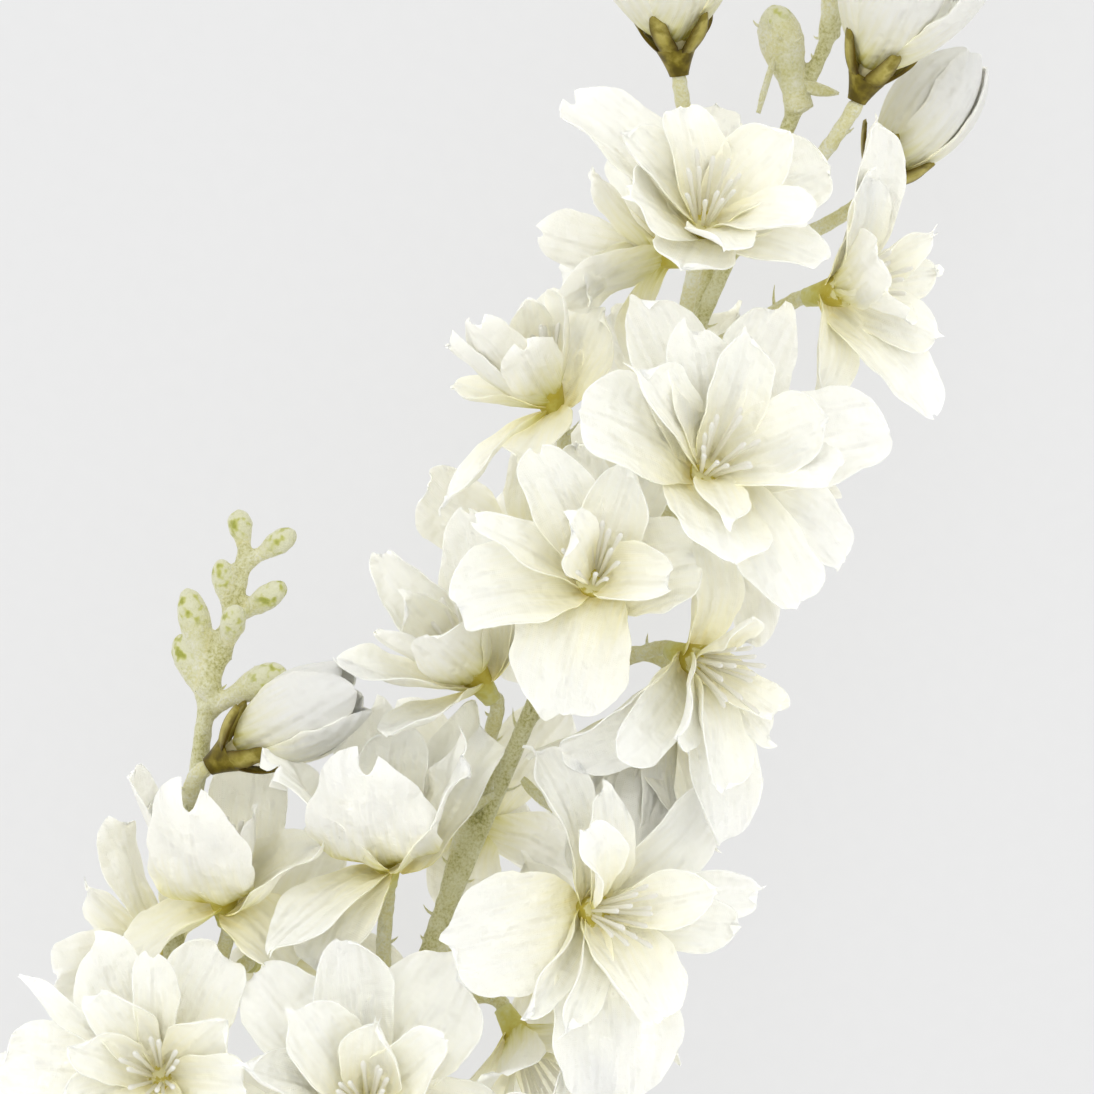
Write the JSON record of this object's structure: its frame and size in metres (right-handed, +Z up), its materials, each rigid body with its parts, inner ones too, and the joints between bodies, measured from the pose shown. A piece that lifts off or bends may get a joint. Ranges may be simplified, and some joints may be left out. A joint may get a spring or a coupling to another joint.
{
  "type": "delphinium flower spike",
  "caption": "White silk delphinium spike laid down: open blooms on stalks round a flocked green stem, half-open buds with brown calyces, a side branch and a cut stem end.",
  "frame": {"origin": "middle of the spike's footprint, on the surface that it lies on", "axes": "+Y along the stem from the cut end to the tip, +X across, +Z up from the surface, the side that the picture shows"},
  "size_m": [0.1304, 0.6191, 0.0725],
  "materials": {
    "petal": "matte white polyester cloth, cream in the throat, ochre at the neck",
    "stem": "flocked pale green",
    "calyx": "satin olive brown"
  },
  "bodies": {
    "root": {"bloom_01": "petal", "bloom_02": "petal", "bloom_03": "petal", "bloom_04": "petal", "bloom_05": "petal", "bloom_06": "petal", "bloom_07": "petal", "bloom_08": "petal", "bloom_09": "petal", "bloom_10": "petal", "bloom_11": "petal", "bloom_12": "petal", "bloom_13": "petal", "bloom_14": "petal", "bloom_15": "petal", "bloom_16": "petal", "bloom_17": "petal", "bloom_18": "petal", "bloom_19": "petal", "bloom_20": "petal", "bloom_21": "petal", "bloom_22": "petal", "bloom_23": "petal", "bloom_24": "petal", "bloom_25": "petal", "bloom_26": "petal", "bloom_27": "petal", "bloom_28": "petal", "bud_1": "petal", "bud_2": "petal", "bud_3": "petal", "bud_4": "petal", "bud_5": "petal", "bud_6": "petal", "calyx_1": "calyx", "calyx_2": "calyx", "calyx_3": "calyx", "calyx_4": "calyx", "calyx_5": "calyx", "calyx_6": "calyx", "stem": "stem"}
  },
  "joints": []
}
